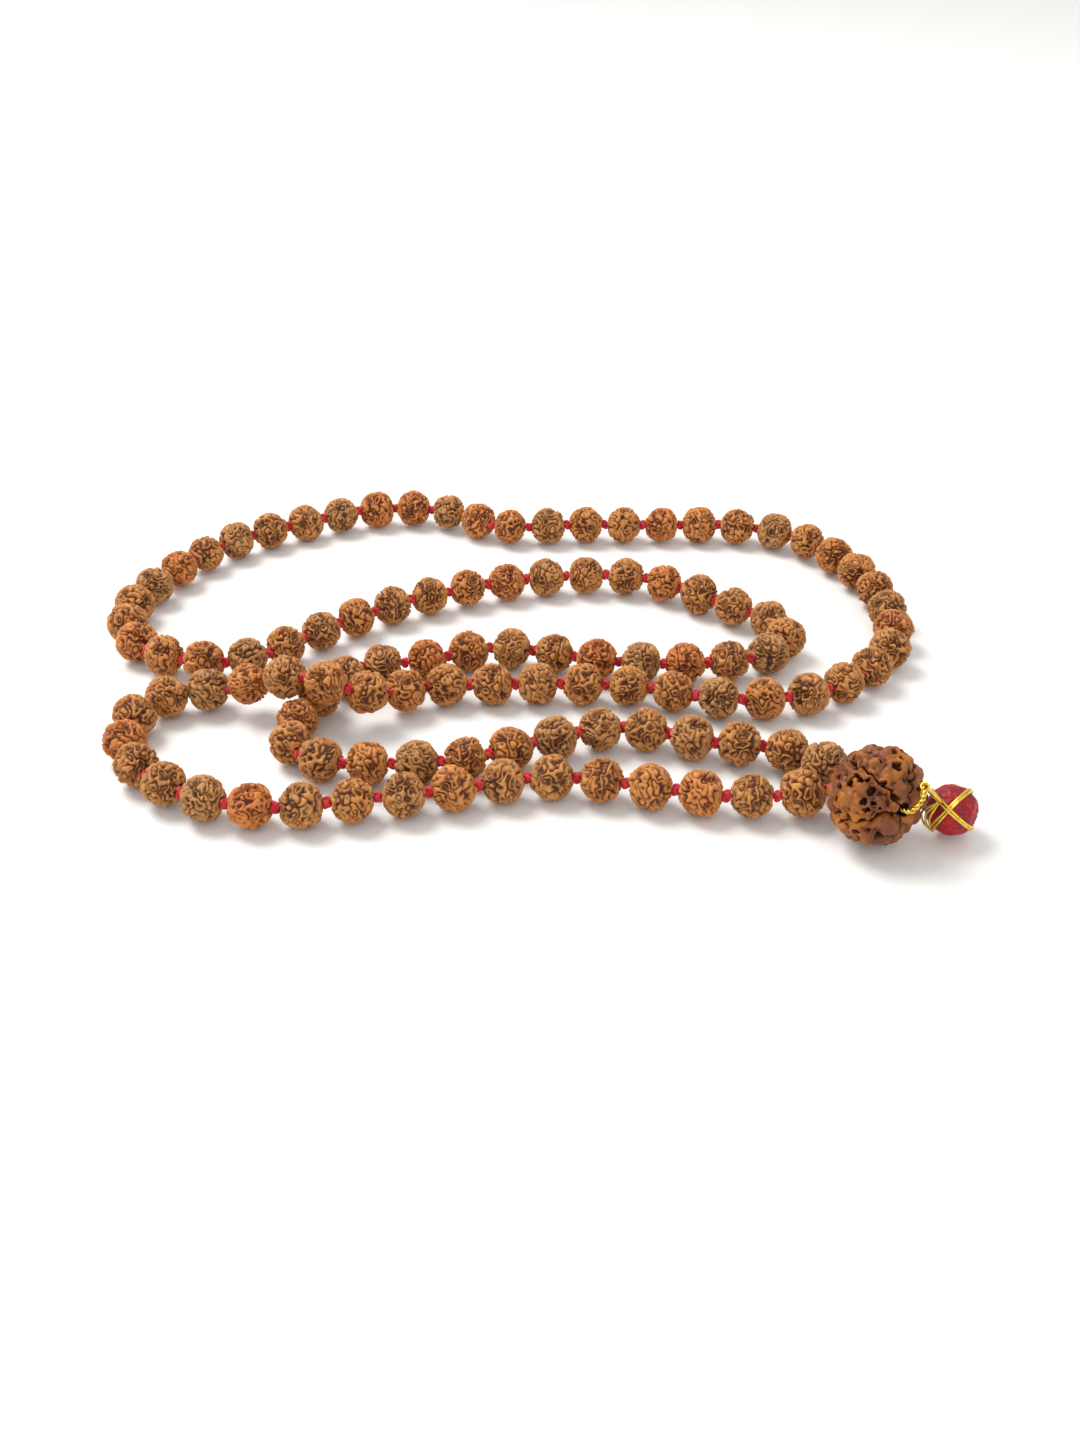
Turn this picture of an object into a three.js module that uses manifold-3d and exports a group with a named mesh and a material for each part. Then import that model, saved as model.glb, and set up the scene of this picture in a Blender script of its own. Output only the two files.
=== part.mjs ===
// A 108-bead rudraksha mala lying loose on a table: a closed loop of carved-looking seed beads
// knotted on one thread, whose two ends run into a large guru bead with a wire-wrapped pendant.
// Millimetres, +Z up, the table at Z = 0. +X runs towards the guru bead, +Y away from it.
import * as THREE from "three";
import { mergeVertices } from "three/addons/utils/BufferGeometryUtils.js";
import Module from "manifold-3d";

const wasm = await Module();
wasm.setup();

// Seed beads and the knotted thread. A bead's radius is measured to its flat sides.
const BEAD_COUNT = 108;
const KNOT_PITCH = 9.2;
const BEAD_LENGTH = 7.5;
const BEAD_RADIUS = 4;
const BEAD_BAND = 2.6;
const BEAD_MOUTH_RADIUS = 1.5;
const BEAD_SIDES = 8;
const THREAD_RADIUS = 0.5;
const THREAD_SIDES = 4;
const GAP = 0.3;

// The guru bead: its bore points back and down to the loop, forward and up to the pendant.
const GURU_CENTRE = new THREE.Vector3(66, -63.5, 9);
const GURU_AXIS = new THREE.Vector3(0.45, -0.87, 0.2).normalize();
const GURU_HALF_LENGTH = 8;
const GURU_RADIUS = 9.3;
const GURU_FACES = 5;
const GURU_SIDES = 20;
const GURU_GROOVE = 0.06;
const BORE_RADIUS = 1.6;
const BUNDLE_RADIUS = 1;

// The pendant: a round bead in a cage of wire, hung from the guru bead's front mouth.
const RED_CENTRE = new THREE.Vector3(80, -62.1, 4.95);
const RED_RADIUS = 4.6;
const WIRE_RADIUS = 0.25;
const CAGE_RADIUS = RED_RADIUS + 0.15 + WIRE_RADIUS;
const NECK = new THREE.Vector3(73, -68.1, 13.9);
const NECK_RADIUS = 0.85;

// The knots' route from the guru bead round the outside of the coil, and back through its inside.
// Each point is X, Y and height; the outer round climbs over the inner one once, near X = -39.
const OUTER_ROUTE = [
  [59, -56, 5], [46, -57, 4], [28, -54, 4], [10, -50, 4], [-8, -54, 4], [-27, -58, 4],
  [-44, -60, 4], [-59, -55, 4], [-71, -43, 4], [-73, -29, 4], [-64, -19, 4], [-53, -21, 5],
  [-44, -23, 10], [-34, -29, 11], [-25, -25, 6], [-17, -18, 4], [8, -17, 4], [27, -18, 4],
  [43, -23, 4], [59, -22, 4], [72, -14, 4], [82, 0, 4], [83, 19, 4], [79, 35, 4],
  [67, 53, 4], [50, 58, 4], [33, 58, 4], [15, 58, 4], [-4, 57, 4], [-13, 65, 4],
  [-30, 68, 4], [-49, 60, 4], [-68, 47, 4], [-80, 26, 4],
];
const INNER_ROUTE = [
  [-83, 11, 4], [-75, -4, 4], [-55, -8, 4], [-39, 6, 4], [-20, 20, 4], [7, 30, 4],
  [30, 30, 4], [47, 18, 4], [60, 6, 4], [56, -5, 4], [36, -9, 4], [18, -7, 4],
  [-1, -2, 4], [-18, -8, 4], [-28, -9, 4], [-34, -15, 4], [-38, -25, 4], [-42, -34, 4],
  [-39, -43, 4], [-28, -46, 4], [-8, -45, 4], [8, -38, 4], [24, -33, 4], [41, -39, 4],
  [55, -41, 4], [62, -53, 6],
];
const STEPS_PER_SPAN = 60;

// Beads are joined in pairs, and in threes along the far side between these two beads.
const FIRST_IN_THREES = 43;
const LAST_IN_THREES = 54;

const seed = new THREE.MeshStandardMaterial({ color: 0xa9683c, roughness: 0.85, metalness: 0 });
const guru = new THREE.MeshStandardMaterial({ color: 0x6b3a1f, roughness: 0.45, metalness: 0 });
const thread = new THREE.MeshStandardMaterial({ color: 0xc4101c, roughness: 0.9, metalness: 0 });
const gold = new THREE.MeshStandardMaterial({ color: 0xd9b23a, roughness: 0.25, metalness: 1 });
const crimson = new THREE.MeshStandardMaterial({ color: 0xa60f22, roughness: 0.4, metalness: 0 });

const UP = new THREE.Vector3(0, 0, 1);
const mala = new THREE.Group();

function addNode(name, solid, material) {
  const cut = solid.getMesh();
  const geometry = new THREE.BufferGeometry();
  geometry.setAttribute("position", new THREE.BufferAttribute(cut.vertProperties, 3));
  geometry.setIndex(new THREE.BufferAttribute(cut.triVerts, 1));
  geometry.computeVertexNormals();
  const mesh = new THREE.Mesh(geometry, material);
  mesh.name = name;
  mala.add(mesh);
}

function toSolid(geometry) {
  geometry.deleteAttribute("normal");
  geometry.deleteAttribute("uv");
  const merged = mergeVertices(geometry, 1e-4);
  const vertProperties = merged.attributes.position.array;
  const triVerts = new Uint32Array(merged.index.array);
  return new wasm.Manifold(new wasm.Mesh({ numProp: 3, vertProperties, triVerts }));
}

function join(solids) {
  return solids.reduce((whole, solid) => whole.add(solid));
}

// Turns a shape made about the Y axis so that Y runs along the thread and Z faces up.
function alongThread(geometry, centre, axis) {
  const upwards = UP.clone().addScaledVector(axis, -UP.dot(axis)).normalize();
  const sideways = new THREE.Vector3().crossVectors(axis, upwards);
  const frame = new THREE.Matrix4().makeBasis(sideways, axis, upwards);
  geometry.applyMatrix4(frame.setPosition(centre));
  return geometry;
}

function rod(from, to, radius, sides) {
  const axis = to.clone().sub(from);
  const length = axis.length();
  const shape = new THREE.CylinderGeometry(radius, radius, length, sides);
  const middle = from.clone().add(to).multiplyScalar(0.5);
  return toSolid(alongThread(shape, middle, axis.normalize()));
}

function ball(centre, radius, detail) {
  const shape = new THREE.IcosahedronGeometry(radius, detail);
  shape.translate(centre.x, centre.y, centre.z);
  return toSolid(shape);
}

function wire(points, radius, steps, sides) {
  const section = new THREE.Shape();
  section.absarc(0, 0, radius, 0, 2 * Math.PI);
  const path = new THREE.CatmullRomCurve3(points);
  const shape = new THREE.ExtrudeGeometry(section, {
    steps, extrudePath: path, curveSegments: sides, bevelEnabled: false,
  });
  return toSolid(shape);
}

// Equal straight links between knots, walked along one smooth curve through the route's points.
function placeKnots() {
  const points = [...OUTER_ROUTE, ...INNER_ROUTE].map((p) => new THREE.Vector3(...p));
  const curve = new THREE.CatmullRomCurve3(points, false, "catmullrom", 0.5);
  const fine = curve.getPoints(STEPS_PER_SPAN * (points.length - 1));
  const knots = [fine[0].clone()];
  for (let i = 1; i < fine.length && knots.length <= BEAD_COUNT; i += 1) {
    const last = knots[knots.length - 1];
    const reached = fine[i].distanceTo(last);
    if (reached < KNOT_PITCH) continue;
    const before = fine[i - 1].distanceTo(last);
    const share = (KNOT_PITCH - before) / (reached - before);
    knots.push(fine[i - 1].clone().lerp(fine[i], share));
  }
  return knots;
}

const knots = placeKnots();

function linkCentre(bead) {
  return knots[bead - 1].clone().add(knots[bead]).multiplyScalar(0.5);
}

// One seed bead: an eight-sided barrel with a flat side down, bevelled towards its two mouths.
function seedBead(bead) {
  const end = BEAD_LENGTH / 2;
  const band = BEAD_BAND / 2;
  const corner = BEAD_RADIUS / Math.cos(Math.PI / BEAD_SIDES);
  const profile = [
    new THREE.Vector2(0, -end), new THREE.Vector2(BEAD_MOUTH_RADIUS, -end),
    new THREE.Vector2(corner, -band), new THREE.Vector2(corner, band),
    new THREE.Vector2(BEAD_MOUTH_RADIUS, end), new THREE.Vector2(0, end),
  ];
  const shape = new THREE.LatheGeometry(profile, BEAD_SIDES, Math.PI / BEAD_SIDES);
  const axis = knots[bead].clone().sub(knots[bead - 1]).normalize();
  return toSolid(alongThread(shape, linkCentre(bead), axis));
}

function beadGroupSize(bead) {
  return bead >= FIRST_IN_THREES && bead <= LAST_IN_THREES ? 3 : 2;
}

// The point just inside a bead's mouth, on the side of the knot before it or after it.
function mouthOf(bead, knot) {
  const towards = knots[knot].clone().sub(linkCentre(bead)).normalize();
  return linkCentre(bead).addScaledVector(towards, BEAD_LENGTH / 2 - GAP);
}

// A run of beads with the knots between them, as plain rods, and the knot after the last one.
function addBeadGroup(first, size) {
  const last = first + size - 1;
  const solids = [];
  for (let bead = first; bead <= last; bead += 1) {
    const from = mouthOf(bead, bead);
    const outwards = knots[bead].clone().sub(from).normalize();
    const stub = knots[bead].clone().addScaledVector(outwards, THREAD_RADIUS);
    const to = bead < last ? mouthOf(bead + 1, bead) : stub;
    solids.push(seedBead(bead));
    solids.push(rod(from, to, THREAD_RADIUS, THREAD_SIDES));
  }
  const name = [first, last].map((n) => String(n).padStart(3, "0")).join("_");
  addNode("beads_" + name, join(solids), seed);
}

for (let bead = 1; bead <= BEAD_COUNT; bead += beadGroupSize(bead)) {
  addBeadGroup(bead, beadGroupSize(bead));
}

// Places along the guru bead's bore, counted from its middle towards the front mouth.
function onBore(distance) {
  return GURU_CENTRE.clone().addScaledVector(GURU_AXIS, distance);
}

// The guru bead: a fat seed with five grooves from mouth to mouth and a bore right through.
function guruBead() {
  const pole = GURU_HALF_LENGTH;
  const profile = [
    new THREE.Vector2(BORE_RADIUS, 0.9 * pole), new THREE.Vector2(BORE_RADIUS, -0.9 * pole),
    new THREE.Vector2(0.36 * GURU_RADIUS, -pole), new THREE.Vector2(0.68 * GURU_RADIUS, -0.8 * pole),
    new THREE.Vector2(0.92 * GURU_RADIUS, -0.44 * pole), new THREE.Vector2(GURU_RADIUS, 0),
    new THREE.Vector2(0.92 * GURU_RADIUS, 0.44 * pole), new THREE.Vector2(0.68 * GURU_RADIUS, 0.8 * pole),
    new THREE.Vector2(0.36 * GURU_RADIUS, pole), new THREE.Vector2(BORE_RADIUS, 0.9 * pole),
  ];
  const shape = new THREE.LatheGeometry(profile, GURU_SIDES, Math.PI / GURU_SIDES);
  const place = shape.attributes.position;
  for (let i = 0; i < place.count; i += 1) {
    const x = place.getX(i);
    const z = place.getZ(i);
    if (Math.hypot(x, z) < 1.01 * BORE_RADIUS) continue;
    const turn = Math.atan2(x, z) - Math.PI / GURU_SIDES;
    const inGroove = Math.cos(GURU_FACES * turn) > 0.9;
    const scale = inGroove ? 1 - GURU_GROOVE : 1;
    place.setXYZ(i, x * scale, place.getY(i), z * scale);
  }
  return toSolid(alongThread(shape, GURU_CENTRE, GURU_AXIS));
}

addNode("guru_bead", guruBead(), guru);

// The two ends of the thread leave the first and the last bead and meet at the guru bead's mouth.
function guruStrands() {
  const mouth = onBore(-GURU_HALF_LENGTH);
  const solids = [ball(mouth, THREAD_RADIUS, 0)];
  const firstKnot = knots[0];
  solids.push(ball(firstKnot, THREAD_RADIUS, 0));
  solids.push(rod(firstKnot, mouth, THREAD_RADIUS, THREAD_SIDES));
  const lastKnot = knots[BEAD_COUNT];
  const away = mouth.clone().sub(lastKnot).normalize();
  const start = lastKnot.clone().addScaledVector(away, 1.5 * THREAD_RADIUS + GAP);
  solids.push(rod(start, mouth, THREAD_RADIUS, THREAD_SIDES));
  return join(solids);
}

addNode("guru_strands", guruStrands(), thread);

// Inside the bore, the two strands lie side by side as one bundle.
const bundleStart = onBore(-GURU_HALF_LENGTH + THREAD_RADIUS + GAP);
addNode("bore_thread", rod(bundleStart, onBore(0), BUNDLE_RADIUS, 8), thread);

// The twisted wire comes out of the front mouth and bends round the guru bead to the neck.
const toNeck = NECK.clone().sub(GURU_CENTRE);
const sideOfNeck = toNeck.addScaledVector(GURU_AXIS, -toNeck.dot(GURU_AXIS)).normalize();
const bend = onBore(GURU_HALF_LENGTH + 1.3).addScaledVector(sideOfNeck, 3.2);
const neckToBend = bend.clone().sub(NECK).normalize();
const stemPoints = [
  onBore(GAP),
  onBore(GURU_HALF_LENGTH),
  onBore(GURU_HALF_LENGTH + 1.3).addScaledVector(sideOfNeck, 1.2),
  bend,
  NECK.clone().addScaledVector(neckToBend, NECK_RADIUS + GAP),
];
addNode("wire_stem", wire(stemPoints, 2 * WIRE_RADIUS, 14, 3), gold);

// The neck, where the wires are wound together above the pendant bead.
addNode("neck_coil", ball(NECK, NECK_RADIUS, 1), gold);

// Two wire rings that cross in front of and behind the pendant bead, hung on a short stalk.
function ring(normal) {
  const shape = new THREE.TorusGeometry(CAGE_RADIUS, WIRE_RADIUS, 5, 24);
  const turn = new THREE.Quaternion().setFromUnitVectors(UP, normal);
  shape.applyQuaternion(turn);
  shape.translate(RED_CENTRE.x, RED_CENTRE.y, RED_CENTRE.z);
  return toSolid(shape);
}

const toRed = RED_CENTRE.clone().sub(NECK).normalize();
const crossing = new THREE.Vector3(-0.37, -0.77, 0.55).normalize();
const firstTurn = new THREE.Vector3(-0.74, 0.36, 0.57);
const firstNormal = new THREE.Vector3().crossVectors(crossing, firstTurn).normalize();
const secondNormal = new THREE.Vector3().crossVectors(firstNormal, crossing).normalize();
const stalkTop = NECK.clone().addScaledVector(toRed, NECK_RADIUS + GAP);
const footWay = toRed.clone().addScaledVector(firstNormal, -toRed.dot(firstNormal)).normalize();
const stalkFoot = RED_CENTRE.clone().addScaledVector(footWay, -CAGE_RADIUS);
const stalk = rod(stalkTop, stalkFoot, WIRE_RADIUS, 5);
addNode("wire_cage", join([ring(firstNormal), ring(secondNormal), stalk]), gold);

addNode("red_bead", ball(RED_CENTRE, RED_RADIUS, 2), crimson);

export default mala;
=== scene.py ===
import math
import random

import bpy
import numpy as np
from mathutils import Matrix, Quaternion, Vector, noise


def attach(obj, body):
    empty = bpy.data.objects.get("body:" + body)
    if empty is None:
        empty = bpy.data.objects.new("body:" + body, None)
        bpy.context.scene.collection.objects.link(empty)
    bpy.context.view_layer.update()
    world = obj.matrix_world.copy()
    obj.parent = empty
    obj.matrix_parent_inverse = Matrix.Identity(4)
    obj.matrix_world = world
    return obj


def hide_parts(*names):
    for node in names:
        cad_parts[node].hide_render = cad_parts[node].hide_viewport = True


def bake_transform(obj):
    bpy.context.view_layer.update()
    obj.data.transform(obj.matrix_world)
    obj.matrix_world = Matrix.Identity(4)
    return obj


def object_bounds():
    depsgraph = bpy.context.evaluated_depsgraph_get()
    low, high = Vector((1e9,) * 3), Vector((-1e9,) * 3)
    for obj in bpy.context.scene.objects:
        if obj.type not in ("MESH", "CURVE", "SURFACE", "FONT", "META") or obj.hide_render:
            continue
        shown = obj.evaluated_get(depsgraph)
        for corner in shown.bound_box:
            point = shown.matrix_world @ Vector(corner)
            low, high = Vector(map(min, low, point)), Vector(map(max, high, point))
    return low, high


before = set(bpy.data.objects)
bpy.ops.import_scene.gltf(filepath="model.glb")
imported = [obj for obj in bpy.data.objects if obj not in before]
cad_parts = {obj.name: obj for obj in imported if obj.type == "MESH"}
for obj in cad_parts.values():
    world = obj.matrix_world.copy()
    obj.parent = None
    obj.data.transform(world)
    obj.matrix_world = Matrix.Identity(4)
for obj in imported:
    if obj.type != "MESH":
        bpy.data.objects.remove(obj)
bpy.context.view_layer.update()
bpy.ops.object.select_all(action="DESELECT")

# Camera. It stands just beyond the table's near edge, a little above the beads, and looks
# down across the whole coil.
bpy.ops.object.camera_add(location=(0.007, -0.287, 0.1657), rotation=(math.radians(57.74), 0, 0))
table_camera = bpy.context.object
table_camera.name = "table_camera"
table_camera.data.lens = 38.9
table_camera.data.sensor_width = 36
table_camera.data.clip_start = 0.005
bpy.context.scene.camera = table_camera
bpy.context.scene.view_settings.view_transform = "Standard"

# Thread. One closed line of twisted red cotton, about a metre long, passes through every seed.
# It is knotted after each seed, so it lies as short straight links that turn only at the knots.
outer_round = [
    (59, -56, 5), (46, -57, 4), (28, -54, 4), (10, -50, 4), (-8, -54, 4), (-27, -58, 4),
    (-44, -60, 4), (-59, -55, 4), (-71, -43, 4), (-73, -29, 4), (-64, -19, 4), (-53, -21, 5),
    (-44, -23, 10), (-34, -29, 11), (-25, -25, 6), (-17, -18, 4), (8, -17, 4), (27, -18, 4),
    (43, -23, 4), (59, -22, 4), (72, -14, 4), (82, 0, 4), (83, 19, 4), (79, 35, 4),
    (67, 53, 4), (50, 58, 4), (33, 58, 4), (15, 58, 4), (-4, 57, 4), (-13, 65, 4),
    (-30, 68, 4), (-49, 60, 4), (-68, 47, 4), (-80, 26, 4),
]
inner_round = [
    (-83, 11, 4), (-75, -4, 4), (-55, -8, 4), (-39, 6, 4), (-20, 20, 4), (7, 30, 4),
    (30, 30, 4), (47, 18, 4), (60, 6, 4), (56, -5, 4), (36, -9, 4), (18, -7, 4),
    (-1, -2, 4), (-18, -8, 4), (-28, -9, 4), (-34, -15, 4), (-38, -25, 4), (-42, -34, 4),
    (-39, -43, 4), (-28, -46, 4), (-8, -45, 4), (8, -38, 4), (24, -33, 4), (41, -39, 4),
    (55, -41, 4), (62, -53, 6),
]
knot_pitch = 0.0092
seed_count = 108
thread_radius = 0.0005
guru_centre = Vector((0.066, -0.0635, 0.009))
guru_axis = Vector((0.45, -0.87, 0.2)).normalized()
guru_half_length = 0.008
back_mouth = guru_centre - guru_axis * guru_half_length


def lay_knots():
    """The places of the knots: equal links walked along one smooth curve through the route."""
    route = [Vector(p) * 0.001 for p in outer_round + inner_round]
    ends = [2 * route[0] - route[1], *route, 2 * route[-1] - route[-2]]
    fine = []
    for a, b, c, d in zip(ends, ends[1:], ends[2:], ends[3:]):
        for step in range(60):
            t = step / 60
            fine.append(0.5 * (2 * b + (c - a) * t + (2 * a - 5 * b + 4 * c - d) * t * t
                               + (3 * b - a - 3 * c + d) * t ** 3))
    fine.append(route[-1])
    places = [fine[0].copy()]
    for near, far in zip(fine, fine[1:]):
        reached = (far - places[-1]).length
        if reached < knot_pitch or len(places) > seed_count:
            continue
        before = (near - places[-1]).length
        places.append(near.lerp(far, (knot_pitch - before) / (reached - before)))
    return places


knots = lay_knots()


def knot_turn(k):
    """The rounded corner that the thread makes in knot k."""
    here = knots[k]
    start = here + (knots[k - 1] - here).normalized() * 0.002
    end = here + (knots[k + 1] - here).normalized() * 0.002
    return [start * (1 - t) ** 2 + here * 2 * t * (1 - t) + end * t * t for t in (0, 0.25, 0.5, 0.75, 1)]


def thread_line(first, last):
    """The thread's centreline from knot first to knot last."""
    line = [knots[first]]
    for k in range(first + 1, last):
        line.extend(knot_turn(k))
    return [*line, knots[last]]


def strand_curve(name, points, radius):
    """A round strand that lies along the points, as one open spline."""
    curve = bpy.data.curves.new(name, "CURVE")
    curve.dimensions = "3D"
    curve.bevel_depth = radius
    curve.bevel_resolution = 2
    curve.use_fill_caps = True
    spline = curve.splines.new("POLY")
    spline.points.add(len(points) - 1)
    for point, place in zip(spline.points, points):
        point.co = (*place, 1)
    strand = bpy.data.objects.new(name, curve)
    bpy.context.scene.collection.objects.link(strand)
    return strand


def cotton_thread():
    """Bright red twisted cotton: matt, a little fuzzy, with painted shade darkening it between the plies."""
    cotton = bpy.data.materials.new("cotton_thread")
    cotton.use_nodes = True
    nodes, links = cotton.node_tree.nodes, cotton.node_tree.links
    shader = nodes["Principled BSDF"]
    shader.inputs["Sheen Weight"].default_value = 0.25
    shader.inputs["Sheen Roughness"].default_value = 0.5
    place = nodes.new("ShaderNodeTexCoord")
    plies = nodes.new("ShaderNodeTexNoise")
    plies.inputs["Scale"].default_value = 1500
    plies.inputs["Detail"].default_value = 3
    links.new(place.outputs["Object"], plies.inputs["Vector"])
    # Painted shade: the ramp's dark red end falls where the ply bump is low, standing in for the shade between the
    # plies.
    red_ramp = nodes.new("ShaderNodeValToRGB")
    red_ramp.color_ramp.elements[0].position = 0.3
    red_ramp.color_ramp.elements[0].color = (0.33, 0.002, 0.006, 1)
    red_ramp.color_ramp.elements[1].position = 0.62
    red_ramp.color_ramp.elements[1].color = (0.74, 0.010, 0.020, 1)
    links.new(plies.outputs["Fac"], red_ramp.inputs["Fac"])
    links.new(red_ramp.outputs["Color"], shader.inputs["Base Color"])
    rough = nodes.new("ShaderNodeMapRange")
    rough.inputs["To Min"].default_value = 0.9
    rough.inputs["To Max"].default_value = 0.65
    links.new(plies.outputs["Fac"], rough.inputs["Value"])
    links.new(rough.outputs["Result"], shader.inputs["Roughness"])
    bump = nodes.new("ShaderNodeBump")
    bump.inputs["Strength"].default_value = 0.5
    bump.inputs["Distance"].default_value = 0.0002
    links.new(plies.outputs["Fac"], bump.inputs["Height"])
    links.new(bump.outputs["Normal"], shader.inputs["Normal"])
    return cotton


cotton = cotton_thread()

straight_runs = [
    (4, 12, "resting_rows"), (12, 20, "left_bend"), (20, 32, "resting_rows"), (42, 54, "resting_rows"),
    (54, 64, "far_left_bend"), (64, 78, "resting_rows"), (78, 84, "inner_bend"), (84, 104, "resting_rows"),
]
for first, last, body in straight_runs:
    line = thread_line(first, last)
    run = strand_curve("thread_%03d_%03d" % (first + 1, last), line, thread_radius)
    run.data.materials.append(cotton)
    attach(run, body)


def bending_run(name, line):
    """A run of thread as one mesh tube along the line, turning at its knots."""
    run = strand_curve(name, line, thread_radius)
    bpy.ops.object.select_all(action="DESELECT")
    run.select_set(True)
    bpy.context.view_layer.objects.active = run
    bpy.ops.object.convert(target="MESH")
    bpy.ops.object.mode_set(mode="EDIT")
    bpy.ops.mesh.select_all(action="SELECT")
    bpy.ops.mesh.remove_doubles(threshold=0.00002)
    bpy.ops.mesh.normals_make_consistent(inside=False)
    bpy.ops.object.mode_set(mode="OBJECT")
    bpy.ops.object.shade_smooth()
    run.data.materials.clear()
    run.data.materials.append(cotton)
    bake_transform(run)
    return run


bending_run("thread_033_042", thread_line(32, 42))


def end_line(outer_knot, end_knot):
    """The thread from the loop to the guru bead: over the end knot and down to its back mouth."""
    step = 1 if end_knot > outer_knot else -1
    line = [knots[outer_knot]]
    for k in range(outer_knot + step, end_knot, step):
        turn = knot_turn(k)
        line.extend(turn if step > 0 else turn[::-1])
    return [*line, knots[end_knot], back_mouth - (back_mouth - knots[end_knot]).normalized() * 0.0002]


first_end = bending_run("thread_first_end", end_line(4, 0))
bending_run("thread_last_end", end_line(104, 108))
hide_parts("guru_strands")

# Knots. Each is a single overhand knot pulled tight in the thread against the seed before it,
# so it shows as a small round lump of crossing plies.
knot_size = 0.00031
ply_radius = 0.00037


def tie_knot():
    """One overhand knot, centred on the origin, with the thread running along Z."""
    loops = []
    for step in range(34):
        t = 2 * math.pi * step / 34
        loops.append(Vector((math.sin(t) + 2 * math.sin(2 * t), math.cos(t) - 2 * math.cos(2 * t),
                             -1.45 * math.sin(3 * t))) * knot_size)
    curve = bpy.data.curves.new("knot_loops", "CURVE")
    curve.dimensions = "3D"
    curve.bevel_depth = ply_radius
    curve.bevel_resolution = 1
    spline = curve.splines.new("POLY")
    spline.points.add(len(loops) - 1)
    spline.use_cyclic_u = True
    for point, place in zip(spline.points, loops):
        point.co = (*place, 1)
    knot = bpy.data.objects.new("knot_pattern", curve)
    bpy.context.scene.collection.objects.link(knot)
    bpy.ops.object.select_all(action="DESELECT")
    knot.select_set(True)
    bpy.context.view_layer.objects.active = knot
    bpy.ops.object.convert(target="MESH")
    bpy.ops.object.mode_set(mode="EDIT")
    bpy.ops.mesh.select_all(action="SELECT")
    bpy.ops.mesh.remove_doubles(threshold=0.000005)
    bpy.ops.mesh.normals_make_consistent(inside=False)
    bpy.ops.object.mode_set(mode="OBJECT")
    bpy.ops.object.shade_smooth()
    knot.data.materials.clear()
    knot.data.materials.append(cotton)
    return knot


def facing_along(axis, roll):
    """The turn that takes Z to the axis, after a roll about it."""
    return Vector((0, 0, 1)).rotation_difference(axis) @ Quaternion((0, 0, 1), roll)


seat_of_knots = [
    (4, 12, "resting_rows"), (13, 19, "left_bend"), (20, 32, "resting_rows"), (42, 54, "resting_rows"),
    (55, 63, "far_left_bend"), (64, 78, "resting_rows"), (79, 83, "inner_bend"), (84, 104, "resting_rows"),
    (33, 34, "right_bend"), (35, 39, "right_bend_tip"), (40, 41, "right_bend"),
    (2, 3, "guru_end"), (105, 106, "guru_end"), (0, 1, "guru_tip"), (107, 108, "guru_tip"),
]
tied_knot = tie_knot()
knot_dice = random.Random(21)
for first, last, body in seat_of_knots:
    tied = []
    for k in range(first, last + 1):
        before = knots[k] - knots[k - 1] if k > 0 else knots[1] - knots[0]
        after = knots[k + 1] - knots[k] if k < seed_count else before
        along = (before.normalized() + after.normalized()).normalized()
        corner = (after.normalized() - before.normalized()) * 0.0005
        size = knot_dice.uniform(0.94, 1.1)
        knot = tied_knot.copy()
        knot.data = tied_knot.data.copy()
        knot.data.transform(Matrix.LocRotScale(knots[k] + corner, facing_along(along, knot_dice.uniform(0, 6.28)),
                                               Vector((size, size, size))))
        bpy.context.scene.collection.objects.link(knot)
        tied.append(knot)
    bpy.ops.object.select_all(action="DESELECT")
    for knot in tied:
        knot.select_set(True)
    bpy.context.view_layer.objects.active = tied[0]
    bpy.ops.object.join()
    tied[0].name = "knots_%03d_%03d" % (first, last)
    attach(tied[0], body)
bpy.data.objects.remove(tied_knot)

# Seed beads. 108 dried rudraksha seeds, about 8 mm across, each a hard stone whose whole surface
# folds into winding ridges. Each is pierced from mouth to mouth and strung on the thread.
seed_radius = 0.0042
seed_squash = 0.97
seed_bore = 0.00062
ridge_depth = 0.00082


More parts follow.
